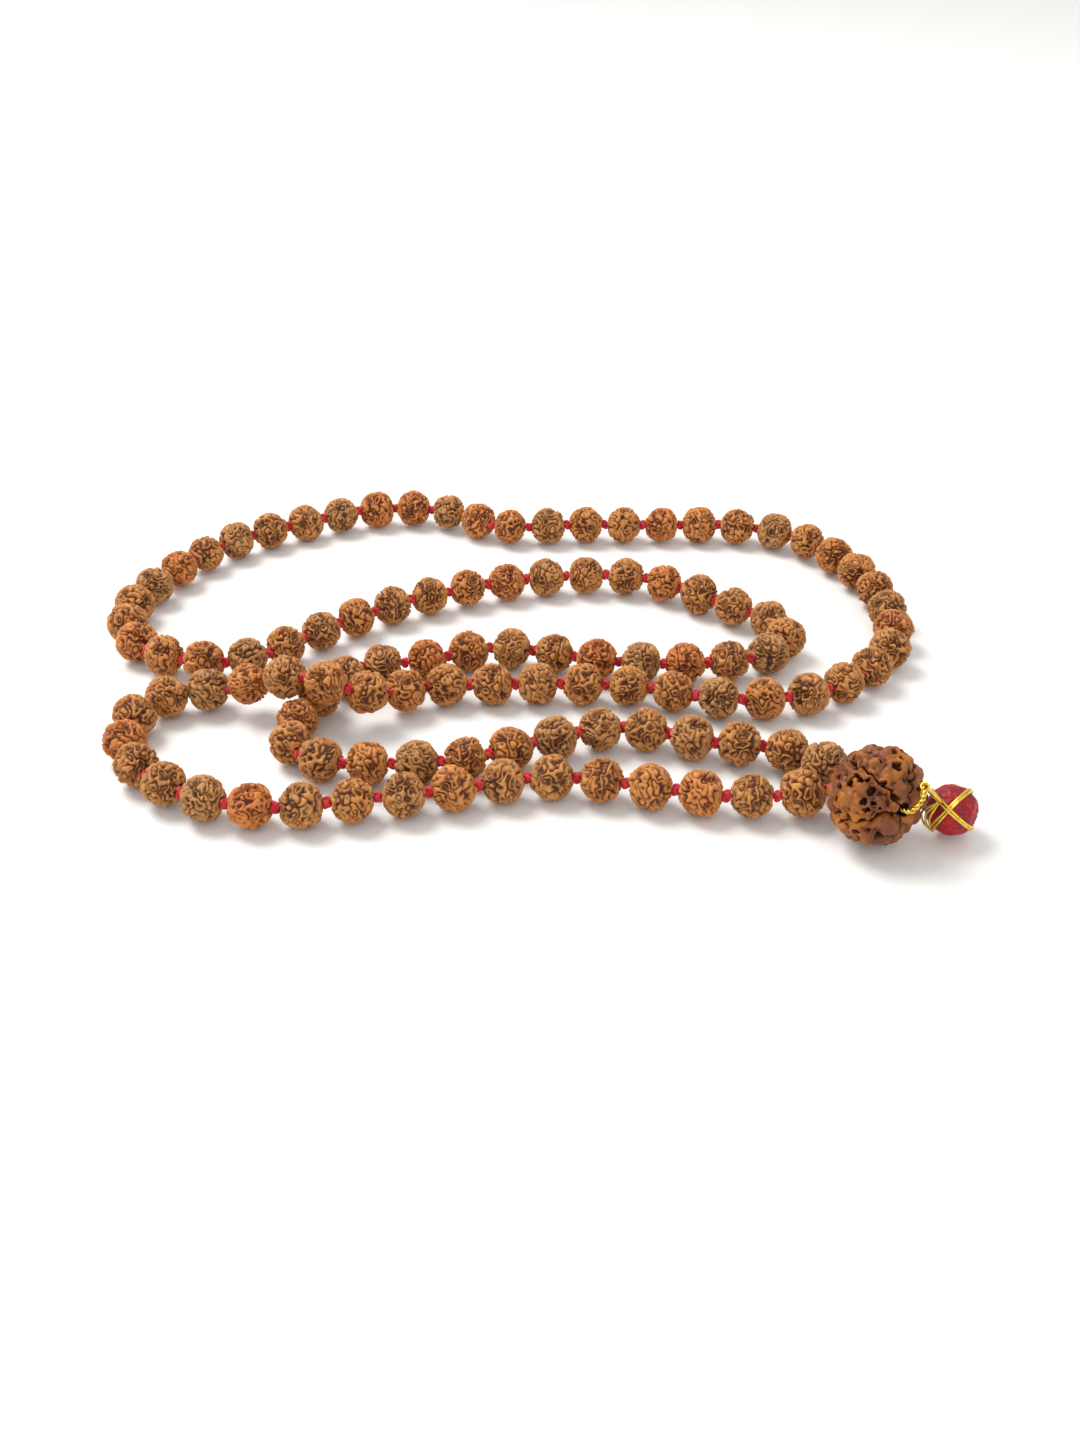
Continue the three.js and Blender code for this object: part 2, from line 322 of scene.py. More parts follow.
def carve_seed(number):
    """One pierced seed about the origin, with its bore along Z and ridges of its own."""
    bpy.ops.object.select_all(action="DESELECT")
    bpy.ops.mesh.primitive_cube_add(size=2 * seed_radius, location=(0, 0, 0))
    seed = bpy.context.object
    seed.name = "seed_pattern_%d" % number
    bpy.ops.object.mode_set(mode="EDIT")
    bpy.ops.mesh.select_all(action="SELECT")
    bpy.ops.mesh.subdivide(number_cuts=33)
    bpy.ops.object.mode_set(mode="OBJECT")
    spots = np.empty(len(seed.data.vertices) * 3)
    seed.data.vertices.foreach_get("co", spots)
    seed.data.vertices.foreach_set("co", seed_radius * np.tan(spots / seed_radius * math.pi / 4))
    bpy.ops.object.mode_set(mode="EDIT")
    bpy.ops.mesh.select_all(action="SELECT")
    bpy.ops.transform.tosphere(value=1)
    bpy.ops.object.mode_set(mode="OBJECT")
    grow = seed_radius / seed.data.vertices[0].co.length
    seed.data.transform(Matrix.Diagonal((grow, grow, grow * seed_squash, 1)))

    away = Vector((0.05 * number, 0.03 * number, 0))
    seed.data.transform(Matrix.Translation(away))
    folds = bpy.data.textures.new("seed_folds", "CLOUDS")
    folds.noise_scale = 0.0023
    folds.noise_depth = 1
    folds.noise_basis = "ORIGINAL_PERLIN"
    folds.use_color_ramp = True
    ramp = folds.color_ramp
    ramp.interpolation = "EASE"
    ramp.elements[0].position = 0.0
    ramp.elements[0].color = (1, 1, 1, 1)
    ramp.elements[1].position = 1.0
    ramp.elements[1].color = (1, 1, 1, 1)
    for position, level in ((0.255, 1.0), (0.335, 0.1), (0.42, 1.0), (0.50, 0.0), (0.58, 1.0), (0.665, 0.1),
                            (0.745, 1.0)):
        ramp.elements.new(position).color = (level, level, level, 1)
    lumps = bpy.data.textures.new("seed_lumps", "CLOUDS")
    lumps.noise_scale = 0.0026
    lumps.noise_depth = 0
    grain = bpy.data.textures.new("seed_grain", "CLOUDS")
    grain.noise_scale = 0.0006
    grain.noise_depth = 1
    round_spots = [spot.co - away for spot in seed.data.vertices]
    for texture, strength, level in ((folds, ridge_depth, 0.86), (lumps, 0.0006, 0.5), (grain, 0.0001, 0.5)):
        bpy.ops.object.modifier_add(type="DISPLACE")
        press = seed.modifiers[-1]
        press.texture = texture
        press.texture_coords = "LOCAL"
        press.strength = strength
        press.mid_level = level
        bpy.ops.object.modifier_apply(modifier=press.name)
        if texture == folds:
            # The depth into the folds, which the material turns into darker colour: partly the seed's own, partly
            # painted shade.
            sunk = [(start.length - (spot.co - away).length) / ridge_depth + 0.1
                    for spot, start in zip(seed.data.vertices, round_spots)]
            seed.data.attributes.new("fold_depth", "FLOAT", "POINT").data.foreach_set("value", sunk)
    seed.data.transform(Matrix.Translation(-away))

    cell = seed_radius * math.pi / 2 / 34
    bpy.ops.object.mode_set(mode="EDIT")
    bpy.ops.mesh.select_mode(type="FACE")
    bpy.ops.mesh.select_all(action="DESELECT")
    bpy.ops.object.mode_set(mode="OBJECT")
    for face in seed.data.polygons:
        face.select = math.hypot(face.center.x, face.center.y) < 3 * cell and abs(face.center.z) > seed_radius / 2
    bpy.ops.object.mode_set(mode="EDIT")
    bpy.ops.mesh.delete(type="FACE")
    bpy.ops.mesh.select_mode(type="EDGE")
    bpy.ops.mesh.select_all(action="DESELECT")
    bpy.ops.mesh.select_non_manifold()
    bpy.ops.object.mode_set(mode="OBJECT")
    for spot in seed.data.vertices:
        reach = math.hypot(spot.co.x, spot.co.y)
        if spot.select:
            spot.co.x *= seed_bore / reach
            spot.co.y *= seed_bore / reach
        if reach < 0.0014:
            spot.co.z -= math.copysign(0.0007 * (1 - reach / 0.0014), spot.co.z)
    bpy.ops.object.mode_set(mode="EDIT")
    bpy.ops.mesh.bridge_edge_loops()
    bpy.ops.mesh.select_all(action="SELECT")
    bpy.ops.mesh.normals_make_consistent(inside=False)
    bpy.ops.mesh.select_mode(type="VERT")
    bpy.ops.object.mode_set(mode="OBJECT")
    bpy.ops.object.shade_smooth()

    return seed


def seed_skin():
    """Shared by all the seed stones: ridge tops, flanks and crevices in their own colours, darker the deeper they
    lie, partly the stone's own colour and partly painted shade, with a fine dry grain. Depth is 0 on a ridge and 1
    in a crevice."""
    skin = bpy.data.node_groups.new("seed_skin", "ShaderNodeTree")
    for name, kind in (("Ridge", "Color"), ("Flank", "Color"), ("Crevice", "Color"), ("Depth", "Float"),
                       ("Grain Size", "Float"), ("Ridge Roughness", "Float"), ("Crevice Roughness", "Float")):
        skin.interface.new_socket(name, in_out="INPUT", socket_type="NodeSocket" + kind)
    for name, kind in (("Color", "Color"), ("Roughness", "Float"), ("Height", "Float")):
        skin.interface.new_socket(name, in_out="OUTPUT", socket_type="NodeSocket" + kind)
    nodes, links = skin.nodes, skin.links
    given = nodes.new("NodeGroupInput")
    result = nodes.new("NodeGroupOutput")
    place = nodes.new("ShaderNodeTexCoord")
    mottle = nodes.new("ShaderNodeTexNoise")
    mottle.inputs["Scale"].default_value = 420
    mottle.inputs["Detail"].default_value = 3
    links.new(place.outputs["Object"], mottle.inputs["Vector"])
    grain = nodes.new("ShaderNodeTexNoise")
    grain.inputs["Detail"].default_value = 4
    grain.inputs["Roughness"].default_value = 0.62
    links.new(place.outputs["Object"], grain.inputs["Vector"])
    links.new(given.outputs["Grain Size"], grain.inputs["Scale"])

    stir = nodes.new("ShaderNodeMath")
    stir.operation = "MULTIPLY_ADD"
    stir.inputs[1].default_value = 0.45
    links.new(grain.outputs["Fac"], stir.inputs[0])
    links.new(given.outputs["Depth"], stir.inputs[2])
    # Painted shade, partly the stone's own colour: with depth the colour goes from ridge to flank to the dark
    # crevice colour.
    low = nodes.new("ShaderNodeMapRange")
    low.inputs["From Min"].default_value = 0.30
    low.inputs["From Max"].default_value = 0.78
    links.new(stir.outputs["Value"], low.inputs["Value"])
    deep = nodes.new("ShaderNodeMapRange")
    deep.inputs["From Min"].default_value = 0.72
    deep.inputs["From Max"].default_value = 1.12
    links.new(stir.outputs["Value"], deep.inputs["Value"])
    top = nodes.new("ShaderNodeMix")
    top.data_type = "RGBA"
    links.new(low.outputs["Result"], top.inputs["Factor"])
    links.new(given.outputs["Ridge"], top.inputs[6])
    links.new(given.outputs["Flank"], top.inputs[7])
    dark = nodes.new("ShaderNodeMix")
    dark.data_type = "RGBA"
    links.new(deep.outputs["Result"], dark.inputs["Factor"])
    links.new(top.outputs[2], dark.inputs[6])
    links.new(given.outputs["Crevice"], dark.inputs[7])
    shade = nodes.new("ShaderNodeMapRange")
    shade.inputs["From Min"].default_value = 0.3
    shade.inputs["From Max"].default_value = 0.7
    shade.inputs["To Min"].default_value = 0.82
    shade.inputs["To Max"].default_value = 1.14
    links.new(mottle.outputs["Fac"], shade.inputs["Value"])
    tint = nodes.new("ShaderNodeMix")
    tint.data_type = "RGBA"
    tint.blend_type = "MULTIPLY"
    tint.inputs["Factor"].default_value = 1
    links.new(dark.outputs[2], tint.inputs[6])
    links.new(shade.outputs["Result"], tint.inputs[7])
    links.new(tint.outputs[2], result.inputs["Color"])

    rough = nodes.new("ShaderNodeMix")
    rough.data_type = "FLOAT"
    links.new(deep.outputs["Result"], rough.inputs["Factor"])
    links.new(given.outputs["Ridge Roughness"], rough.inputs[2])
    links.new(given.outputs["Crevice Roughness"], rough.inputs[3])
    links.new(rough.outputs[0], result.inputs["Roughness"])
    links.new(grain.outputs["Fac"], result.inputs["Height"])
    return skin


skin = seed_skin()


def seed_stone():
    """Dry tan seed: each stone a little browner or more orange than the next, dark red in its crevices, partly its
    own colour and partly painted shade.
    """
    stone = bpy.data.materials.new("seed_stone")
    stone.use_nodes = True
    nodes, links = stone.node_tree.nodes, stone.node_tree.links
    shader = nodes["Principled BSDF"]
    surface = nodes.new("ShaderNodeGroup")
    surface.node_tree = skin
    surface.inputs["Grain Size"].default_value = 2600
    surface.inputs["Ridge Roughness"].default_value = 0.62
    surface.inputs["Crevice Roughness"].default_value = 0.9
    depth = nodes.new("ShaderNodeAttribute")
    depth.attribute_name = "fold_depth"
    links.new(depth.outputs["Fac"], surface.inputs["Depth"])
    tone = nodes.new("ShaderNodeAttribute")
    tone.attribute_name = "seed_tone"
    # Flank and crevice colours darker than the ridge: partly the seed's own colour, partly painted shade in the
    # folds.
    for name, colours in (("Ridge", ((0.485, 0.226, 0.068), (0.545, 0.219, 0.047), (0.60, 0.196, 0.036))),
                          ("Flank", ((0.285, 0.116, 0.029), (0.325, 0.111, 0.022), (0.375, 0.101, 0.018))),
                          ("Crevice", ((0.070, 0.022, 0.008), (0.080, 0.020, 0.007), (0.105, 0.020, 0.007)))):
        ramp = nodes.new("ShaderNodeValToRGB")
        ramp.color_ramp.elements[0].color = (*colours[0], 1)
        ramp.color_ramp.elements[1].color = (*colours[2], 1)
        ramp.color_ramp.elements.new(0.5).color = (*colours[1], 1)
        links.new(tone.outputs["Fac"], ramp.inputs["Fac"])
        links.new(ramp.outputs["Color"], surface.inputs[name])
    links.new(surface.outputs["Color"], shader.inputs["Base Color"])
    links.new(surface.outputs["Roughness"], shader.inputs["Roughness"])
    bump = nodes.new("ShaderNodeBump")
    bump.inputs["Strength"].default_value = 0.45
    bump.inputs["Distance"].default_value = 0.00022
    links.new(surface.outputs["Height"], bump.inputs["Height"])
    links.new(bump.outputs["Normal"], shader.inputs["Normal"])
    return stone


stone = seed_stone()
carved_seeds = [carve_seed(number) for number in range(7)]
seed_body = {}
for body, spans in {
    "resting_rows": ((5, 12), (21, 32), (43, 54), (65, 78), (85, 104)),
    "left_bend": ((13, 20),), "right_bend": ((33, 34), (41, 42)), "right_bend_tip": ((35, 40),),
    "far_left_bend": ((55, 64),), "inner_bend": ((79, 84),),
    "guru_end": ((3, 4), (105, 106)), "guru_tip": ((1, 2), (107, 108)),
}.items():
    for first, last in spans:
        for bead in range(first, last + 1):
            seed_body[bead] = body


def seed_node(bead):
    """The name of the CAD node that holds this seed."""
    size, start = (3, 43) if 43 <= bead <= 54 else (2, 1)
    first = start + (bead - start) // size * size
    return "beads_%03d_%03d" % (first, first + size - 1)


seed_dice = random.Random(7)
for bead in range(1, seed_count + 1):
    pattern = carved_seeds[seed_dice.randrange(len(carved_seeds))]
    axis = (knots[bead] - knots[bead - 1]).normalized()
    centre = (knots[bead] + knots[bead - 1]) / 2
    size = seed_dice.uniform(0.965, 1.03)
    roll = facing_along(axis if seed_dice.random() < 0.5 else -axis, seed_dice.uniform(0, 6.28))
    seed = pattern.copy()
    seed.data = pattern.data.copy()
    seed.name = "seed_%03d" % bead
    seed.data.transform(Matrix.LocRotScale(centre, roll, Vector((size, size, size))))
    bpy.context.scene.collection.objects.link(seed)
    tone = seed.data.attributes.new("seed_tone", "FLOAT", "POINT")
    shade = min(1.0, max(0.0, seed_dice.gauss(0.45, 0.26)))
    tone.data.foreach_set("value", [shade] * len(seed.data.vertices))
    seed.data.materials.append(stone)
    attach(seed, seed_body[bead])
    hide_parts(seed_node(bead))
for pattern in carved_seeds:
    bpy.data.objects.remove(pattern)

# Guru bead. One much larger seed, dark and polished by handling, with five seams that run from
# mouth to mouth, lumpy lobes and deep pits. Both ends of the thread go into its back mouth.
guru_radius = 0.0091
guru_bore = 0.0012
guru_up = (Vector((0, 0, 1)) - guru_axis * guru_axis.z).normalized()
guru_side = guru_axis.cross(guru_up)
guru_place = Matrix((
    (guru_up.x, guru_side.x, guru_axis.x, guru_centre.x),
    (guru_up.y, guru_side.y, guru_axis.y, guru_centre.y),
    (guru_up.z, guru_side.z, guru_axis.z, guru_centre.z),
    (0, 0, 0, 1),
))
# Each pit: its turn about the bore from straight up, its angle from the front mouth, its radius in mm.
guru_pits = [
    (54, 80, 0.75), (44, 76, 0.52), (46, 69, 0.55), (40, 63, 0.45), (52, 52, 0.8), (68, 55, 0.65),
    (68, 44, 0.5), (82, 50, 0.6), (26, 46, 0.5), (76, 34, 0.4), (344, 80, 0.65), (354, 56, 0.8),
    (18, 116, 0.35), (332, 54, 0.5), (328, 84, 0.5), (4, 118, 0.3), (116, 66, 0.5), (122, 54, 0.4),
    (144, 48, 0.8), (148, 64, 0.5), (158, 40, 0.4), (54, 106, 0.45), (74, 120, 0.75), (80, 92, 0.5),
    (10, 92, 0.45), (24, 100, 0.4), (34, 90, 0.5), (62, 92, 0.42), (94, 74, 0.45), (100, 58, 0.4), (106, 88, 0.5),
    (136, 78, 0.5), (128, 92, 0.4), (352, 100, 0.45), (340, 66, 0.4), (8, 70, 0.42), (154, 90, 0.5), (96, 108, 0.45),
]
pit_dice = random.Random(5)
while len(guru_pits) < 76:
    turn, tilt = pit_dice.uniform(165, 325), math.degrees(math.acos(pit_dice.uniform(-0.85, 0.85)))
    if all(abs(turn - t) * math.sin(math.radians(tilt)) + abs(tilt - a) > 15 for t, a, r in guru_pits):
        guru_pits.append((turn, tilt, pit_dice.uniform(0.35, 0.75)))
    else:
        guru_pits.append((pit_dice.uniform(0, 160), pit_dice.uniform(120, 160), pit_dice.uniform(0.3, 0.6)))


def carve_guru():
    """The big seed about the origin with its bore along Z, then turned to lie in its place."""
    bpy.ops.object.select_all(action="DESELECT")
    bpy.ops.mesh.primitive_cube_add(size=2 * guru_radius, location=(0, 0, 0))
    guru = bpy.context.object
    guru.name = "guru_seed"
    bpy.ops.object.mode_set(mode="EDIT")
    bpy.ops.mesh.select_all(action="SELECT")
    bpy.ops.mesh.subdivide(number_cuts=119)
    bpy.ops.object.mode_set(mode="OBJECT")
    spots = np.empty(len(guru.data.vertices) * 3)
    guru.data.vertices.foreach_get("co", spots)
    guru.data.vertices.foreach_set("co", guru_radius * np.tan(spots / guru_radius * math.pi / 4))
    bpy.ops.object.mode_set(mode="EDIT")
    bpy.ops.mesh.select_all(action="SELECT")
    bpy.ops.transform.tosphere(value=1)
    bpy.ops.object.mode_set(mode="OBJECT")
    grow = guru_radius / guru.data.vertices[0].co.length
    guru.data.transform(Matrix.Diagonal((grow, grow, grow * guru_half_length / guru_radius, 1)))
    guru.data.vertices.foreach_get("co", spots)
    even = spots.reshape(-1, 3).copy()
    out = even / np.linalg.norm(even, axis=1)[:, None]

    lobes = bpy.data.textures.new("guru_lobes", "VORONOI")
    lobes.noise_scale = 0.0034
    lobes.distance_metric = "DISTANCE_SQUARED"
    knobs = bpy.data.textures.new("guru_knobs", "VORONOI")
    knobs.noise_scale = 0.0017
    knobs.distance_metric = "DISTANCE_SQUARED"
    swell = bpy.data.textures.new("guru_swell", "CLOUDS")
    swell.noise_scale = 0.0050
    swell.noise_depth = 0
    ripple = bpy.data.textures.new("guru_ripple", "CLOUDS")
    ripple.noise_scale = 0.0009
    ripple.noise_depth = 1
    for texture, strength, level in ((lobes, -0.0024, 0.13), (knobs, -0.0008, 0.15), (swell, 0.0008, 0.5),
                                     (ripple, 0.00022, 0.5)):
        bpy.ops.object.modifier_add(type="DISPLACE")
        press = guru.modifiers[-1]
        press.texture = texture
        press.texture_coords = "LOCAL"
        press.strength = strength
        press.mid_level = level
        bpy.ops.object.modifier_apply(modifier=press.name)
    bpy.ops.object.modifier_add(type="SMOOTH")
    guru.modifiers[-1].factor = 0.5
    guru.modifiers[-1].iterations = 3
    bpy.ops.object.modifier_apply(modifier=guru.modifiers[-1].name)

    bent = np.array([noise.noise_vector(Vector(p) * 0.55) * 0.9 + noise.noise_vector(Vector(p) * 1.3) * 0.45
                     for p in even * 1000])
    frayed = bent * 0.45 + np.array([noise.noise_vector(Vector(p) * 2.1) * 0.28 for p in even * 1000])
    turn = np.degrees(np.arctan2(even[:, 1] * 1000 + bent[:, 1], even[:, 0] * 1000 + bent[:, 0]))
    reach = np.hypot(even[:, 0], even[:, 1]) * 1000
    off = np.radians(np.abs((turn - 30 + 36) % 72 - 36)) * reach
    seam = np.exp(-(off / 0.23) ** 2) * np.minimum(1, reach / 3)
    valley = np.exp(-(off / 1.0) ** 2) * np.minimum(1, reach / 4)
    pit = np.zeros(len(even))
    for turned, tilt, radius in guru_pits:
        turned, tilt = math.radians(turned), math.radians(tilt)
        place = np.array((math.cos(turned) * math.sin(tilt), math.sin(turned) * math.sin(tilt), math.cos(tilt)))
        apart = np.linalg.norm((out - place) * 8.8 + frayed, axis=1) / radius
        pit = np.maximum(pit, np.clip((1.25 - apart) / 0.4, 0, 1))
    sink = 0.00085 * seam + 0.00045 * valley + 0.0012 * pit * pit * (3 - 2 * pit)
    guru.data.vertices.foreach_get("co", spots)
    carved = spots.reshape(-1, 3) - out * sink[:, None]
    guru.data.vertices.foreach_set("co", carved.ravel())

    # Painted shade: points lying below a much smoothed copy mark the hollows between the lobes, which darken toward
    # near black like the seams and pits.
    bpy.ops.object.duplicate()
    smoothed_copy = bpy.context.object
    bpy.ops.object.modifier_add(type="SMOOTH")
    smoothed_copy.modifiers[-1].factor = 0.5
    smoothed_copy.modifiers[-1].iterations = 30
    bpy.ops.object.modifier_apply(modifier=smoothed_copy.modifiers[-1].name)
    smoothed_copy.data.vertices.foreach_get("co", spots)
    hollow = np.sum((spots.reshape(-1, 3) - carved) * out, axis=1) / 0.0002
    bpy.data.objects.remove(smoothed_copy)
    bpy.context.view_layer.objects.active = guru
    depth = np.maximum(np.maximum(pit, seam), np.clip(hollow, 0, 0.8))
    guru.data.attributes.new("hollow", "FLOAT", "POINT").data.foreach_set("value", depth)

    cell = guru_radius * math.pi / 2 / 120
    bpy.ops.object.mode_set(mode="EDIT")
    bpy.ops.mesh.select_mode(type="FACE")
    bpy.ops.mesh.select_all(action="DESELECT")
    bpy.ops.object.mode_set(mode="OBJECT")
    for face in guru.data.polygons:
        face.select = math.hypot(face.center.x, face.center.y) < 8 * cell and abs(face.center.z) > guru_radius / 2
    bpy.ops.object.mode_set(mode="EDIT")
    bpy.ops.mesh.delete(type="FACE")
    bpy.ops.mesh.select_mode(type="EDGE")
    bpy.ops.mesh.select_all(action="DESELECT")
    bpy.ops.mesh.select_non_manifold()
    bpy.ops.object.mode_set(mode="OBJECT")
    for spot in guru.data.vertices:
        reach = math.hypot(spot.co.x, spot.co.y)
        if spot.select:
            spot.co.x *= guru_bore / reach
            spot.co.y *= guru_bore / reach
        if reach < 0.0026:
            spot.co.z -= math.copysign(0.0007 * (1 - reach / 0.0026), spot.co.z)
    bpy.ops.object.mode_set(mode="EDIT")
    bpy.ops.mesh.bridge_edge_loops(number_cuts=6)
    bpy.ops.mesh.select_all(action="SELECT")
    bpy.ops.mesh.normals_make_consistent(inside=False)
    bpy.ops.mesh.select_mode(type="VERT")
    bpy.ops.object.mode_set(mode="OBJECT")
    bpy.ops.object.shade_smooth()
    depth = np.empty(len(guru.data.vertices))
    guru.data.attributes["hollow"].data.foreach_get("value", depth)
    # Painted shade in the bore: its walls get full depth, and so the near-black crevice colour.
    for spot in guru.data.vertices:
        if math.hypot(spot.co.x, spot.co.y) < guru_bore * 1.1:
            depth[spot.index] = 1
    guru.data.attributes["hollow"].data.foreach_set("value", depth)
    guru.data.transform(guru_place)
    return guru


def guru_stone():
    """Dark oiled seed: red-brown with orange polished patches, near black in the seams and pits, partly their own
    dark colour and partly painted shade, and near black in the hollows and bore mouth as painted shade.
    """
    oiled = bpy.data.materials.new("guru_stone")
    oiled.use_nodes = True
    nodes, links = oiled.node_tree.nodes, oiled.node_tree.links
    shader = nodes["Principled BSDF"]
    shader.inputs["Coat Roughness"].default_value = 0.28
    shader.inputs["Specular IOR Level"].default_value = 0.3
    shader.inputs["Coat Weight"].default_value = 0.06
    surface = nodes.new("ShaderNodeGroup")
    surface.node_tree = skin
    # Near-black crevice colour: in seams and pits partly the seed's own dark colour and partly painted shade, in the
    # hollows and bore painted shade.
    surface.inputs["Crevice"].default_value = (0.018, 0.004, 0.003, 1)
    surface.inputs["Grain Size"].default_value = 1500
    surface.inputs["Ridge Roughness"].default_value = 0.46
    surface.inputs["Crevice Roughness"].default_value = 0.8
    hollow = nodes.new("ShaderNodeAttribute")
    hollow.attribute_name = "hollow"
    links.new(hollow.outputs["Fac"], surface.inputs["Depth"])
    place = nodes.new("ShaderNodeTexCoord")
    patches = nodes.new("ShaderNodeTexNoise")
    patches.inputs["Scale"].default_value = 260
    patches.inputs["Detail"].default_value = 2
    links.new(place.outputs["Object"], patches.inputs["Vector"])
    for name, colours in (("Ridge", ((0.17, 0.046, 0.011), (0.25, 0.072, 0.012), (0.43, 0.138, 0.008))),
                          ("Flank", ((0.050, 0.009, 0.004), (0.070, 0.013, 0.005), (0.11, 0.024, 0.004)))):
        ramp = nodes.new("ShaderNodeValToRGB")
        ramp.color_ramp.elements[0].position = 0.36
        ramp.color_ramp.elements[0].color = (*colours[0], 1)
        ramp.color_ramp.elements[1].position = 0.70
        ramp.color_ramp.elements[1].color = (*colours[2], 1)
        ramp.color_ramp.elements.new(0.52).color = (*colours[1], 1)
        links.new(patches.outputs["Fac"], ramp.inputs["Fac"])
        links.new(ramp.outputs["Color"], surface.inputs[name])
    links.new(surface.outputs["Color"], shader.inputs["Base Color"])
    links.new(surface.outputs["Roughness"], shader.inputs["Roughness"])
    bump = nodes.new("ShaderNodeBump")
    bump.inputs["Strength"].default_value = 0.35
    bump.inputs["Distance"].default_value = 0.0003
    links.new(surface.outputs["Height"], bump.inputs["Height"])
    links.new(bump.outputs["Normal"], shader.inputs["Normal"])
    return oiled


guru_seed = carve_guru()
guru_seed.data.materials.append(guru_stone())
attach(guru_seed, "guru_bead")
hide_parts("guru_bead")


def twist(points, strands, wire_radius, lay_radius, pitch, phase=0.0):
    """Centrelines of strands that wind about the line through the points."""
    ticks = [points[0]]
    for a, b in zip(points, points[1:]):
        steps = max(1, round((b - a).length / 0.00025))
        ticks += [a.lerp(b, (i + 1) / steps) for i in range(steps)]
    turned = [[] for strand in range(strands)]
    sideways = (ticks[1] - ticks[0]).normalized().orthogonal().normalized()
    run = 0.0
    for i, here in enumerate(ticks):
        ahead = (ticks[min(i + 1, len(ticks) - 1)] - ticks[max(i - 1, 0)]).normalized()
        sideways = (sideways - ahead * sideways.dot(ahead)).normalized()
        for strand in range(strands):
            angle = phase + 2 * math.pi * (strand / strands + run / pitch)
            turned[strand].append(here + (sideways * math.cos(angle)
                                          + ahead.cross(sideways) * math.sin(angle)) * lay_radius)
        run += (ticks[min(i + 1, len(ticks) - 1)] - here).length
    return turned


def strands_mesh(name, lines, radius, material, closed=False):
    """Round strands along the lines, joined as one mesh."""
    curve = bpy.data.curves.new(name, "CURVE")
    curve.dimensions = "3D"
    curve.bevel_depth = radius
    curve.bevel_resolution = 2
    curve.use_fill_caps = not closed
    for line in lines:
        spline = curve.splines.new("POLY")
        spline.points.add(len(line) - 1)
        spline.use_cyclic_u = closed
        for point, place in zip(spline.points, line):
            point.co = (*place, 1)
    made = bpy.data.objects.new(name, curve)
    bpy.context.scene.collection.objects.link(made)
    bpy.ops.object.select_all(action="DESELECT")
    made.select_set(True)
    bpy.context.view_layer.objects.active = made
    bpy.ops.object.convert(target="MESH")
    bpy.ops.object.mode_set(mode="EDIT")
    bpy.ops.mesh.select_all(action="SELECT")
    bpy.ops.mesh.remove_doubles(threshold=0.000004)
    bpy.ops.mesh.normals_make_consistent(inside=False)
    bpy.ops.object.mode_set(mode="OBJECT")
    bpy.ops.object.shade_smooth()
    made.data.materials.clear()
    made.data.materials.append(material)
    return made


# Thread in the bore. The thread's two ends lie twisted together inside the guru bead and end in
# the knot that holds the wire.
bore_line = [back_mouth + guru_axis * 0.0004, guru_centre - guru_axis * 0.004, guru_centre - guru_axis * 0.0002]
bore_strands = strands_mesh("bore_strands", twist(bore_line, 2, 0.0005, 0.0005, 0.004), thread_radius, cotton)
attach(bore_strands, "bore_core")
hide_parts("bore_thread")

# Gold wire. Bright brass-gilt wire, doubled and twisted: it comes out of the guru bead's front
# mouth, bends up to the neck, where it is wound round itself, and goes on over the pendant.
wire_radius = 0.00023
neck = Vector((0.073, -0.0681, 0.0139))
red_centre = Vector((0.080, -0.0621, 0.00495))
to_red = (red_centre - neck).normalized()


def gilt_wire():
    """Bright gilt wire, slightly uneven in its shine."""
    gilt = bpy.data.materials.new("gilt_wire")
    gilt.use_nodes = True
    nodes, links = gilt.node_tree.nodes, gilt.node_tree.links
    shader = nodes["Principled BSDF"]
    shader.inputs["Metallic"].default_value = 1
    place = nodes.new("ShaderNodeTexCoord")
    wear = nodes.new("ShaderNodeTexNoise")
    wear.inputs["Scale"].default_value = 900
    wear.inputs["Detail"].default_value = 3
    links.new(place.outputs["Object"], wear.inputs["Vector"])
    gild = nodes.new("ShaderNodeValToRGB")
    gild.color_ramp.elements[0].position = 0.3
    gild.color_ramp.elements[0].color = (0.62, 0.36, 0.035, 1)
    gild.color_ramp.elements[1].position = 0.65
    gild.color_ramp.elements[1].color = (0.95, 0.72, 0.12, 1)
    links.new(wear.outputs["Fac"], gild.inputs["Fac"])
    links.new(gild.outputs["Color"], shader.inputs["Base Color"])
    rough = nodes.new("ShaderNodeMapRange")
    rough.inputs["To Min"].default_value = 0.2
    rough.inputs["To Max"].default_value = 0.42
    links.new(wear.outputs["Fac"], rough.inputs["Value"])
    links.new(rough.outputs["Result"], shader.inputs["Roughness"])
    bump = nodes.new("ShaderNodeBump")
    bump.inputs["Strength"].default_value = 0.15
    bump.inputs["Distance"].default_value = 0.0001
    links.new(wear.outputs["Fac"], bump.inputs["Height"])
    links.new(bump.outputs["Normal"], shader.inputs["Normal"])
    return gilt


gilt = gilt_wire()


def smooth_line(points, steps=10):
    """More points along a smooth curve through the given ones."""
    ends = [2 * points[0] - points[1], *points, 2 * points[-1] - points[-2]]
    line = []
    for a, b, c, d in zip(ends, ends[1:], ends[2:], ends[3:]):
        for step in range(steps):
            t = step / steps
            line.append(0.5 * (2 * b + (c - a) * t + (2 * a - 5 * b + 4 * c - d) * t * t
                               + (3 * b - a - 3 * c + d) * t ** 3))
    return [*line, points[-1]]


towards_neck = neck - guru_centre
neck_side = (towards_neck - guru_axis * towards_neck.dot(guru_axis)).normalized()
bend = guru_centre + guru_axis * 0.0093 + neck_side * 0.0032
stem_line = smooth_line([
    guru_centre + guru_axis * 0.0005, guru_centre + guru_axis * 0.008,
    guru_centre + guru_axis * 0.0093 + neck_side * 0.0012, bend,
    neck + (bend - neck).normalized() * 0.0006,
])
wire_stem = strands_mesh("twisted_stem", twist(stem_line, 2, wire_radius, 0.00026, 0.0019), wire_radius, gilt)
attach(wire_stem, "bore_core")
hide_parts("wire_stem")

